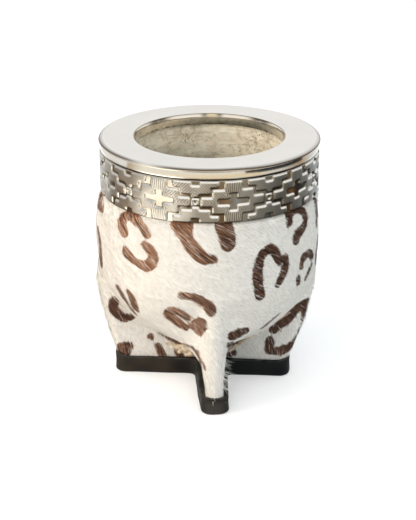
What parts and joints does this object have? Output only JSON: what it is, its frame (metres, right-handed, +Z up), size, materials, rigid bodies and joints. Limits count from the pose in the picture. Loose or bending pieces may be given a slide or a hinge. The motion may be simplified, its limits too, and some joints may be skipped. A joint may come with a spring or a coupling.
{
  "type": "mate gourd",
  "caption": "Mate cup: a dried gourd in a spotted hair-on hide cover drawn into pleated legs, with a flat metal rim, an embossed metal band and a cross-shaped leather sole.",
  "frame": {"origin": "on the mouth's axis, at the underside of the sole", "axes": "+Z up through the mouth, -Y towards the front leg"},
  "size_m": [0.0932, 0.0922, 0.1045],
  "materials": {
    "gourd": "dry scraped gourd with dark specks",
    "rim_metal": "polished nickel silver",
    "collar_metal": "polished nickel silver",
    "band_metal": "chiselled nickel silver with darkened recesses",
    "hide": "short white hair with brown leopard spots",
    "core_leather": "undyed sole leather",
    "sole_leather": "black sole leather with burnished edges"
  },
  "bodies": {
    "root": {"gourd_cup": "gourd", "rim_plate": "rim_metal", "collar_ring": "collar_metal", "embossed_band": "band_metal", "hide_cover": "hide", "leg_core_front": "core_leather", "leg_core_right": "core_leather", "leg_core_back": "core_leather", "leg_core_left": "core_leather", "cross_sole": "sole_leather"}
  },
  "joints": []
}
